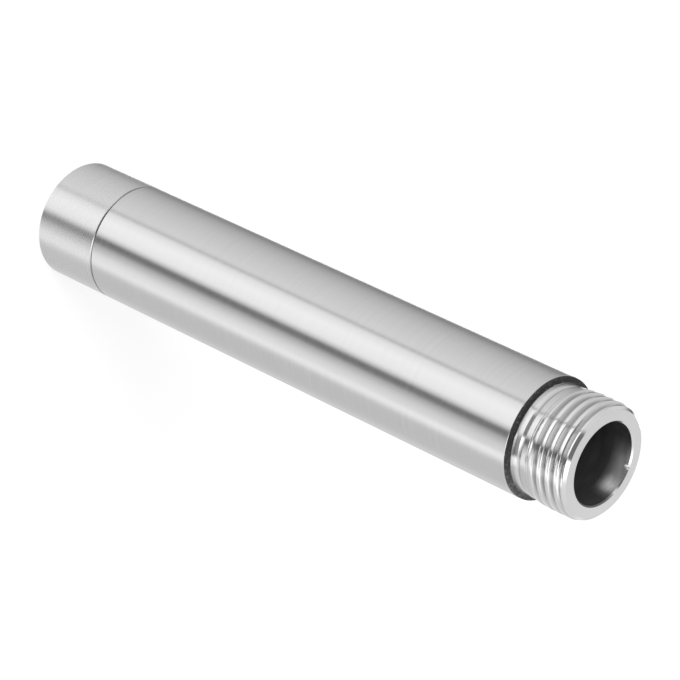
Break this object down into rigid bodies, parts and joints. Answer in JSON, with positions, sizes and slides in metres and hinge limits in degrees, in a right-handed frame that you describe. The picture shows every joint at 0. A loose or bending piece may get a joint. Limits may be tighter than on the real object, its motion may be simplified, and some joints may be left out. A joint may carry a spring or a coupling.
{
  "type": "shower arm extension",
  "caption": "Straight round extension pipe for a shower arm: brushed steel tube, bright threaded spigot with a black sealing ring, and a threaded socket collar.",
  "frame": {"origin": "centre of the socket collar's end face, on the pipe's axis, where the part stands", "axes": "+Z along the pipe's axis, from the socket's end face up to the spigot's end face; +X and +Y across it"},
  "size_m": [0.022, 0.022, 0.127],
  "materials": {
    "brushed_steel": "fine brushing round the tube, satin",
    "bright_metal": "turned and bright",
    "black_rubber": "matte, slightly rough"
  },
  "bodies": {
    "root": {"outer_tube": "brushed_steel", "socket_collar": "brushed_steel", "threaded_spigot": "bright_metal", "sealing_ring": "black_rubber", "socket_washer": "black_rubber"}
  },
  "joints": []
}
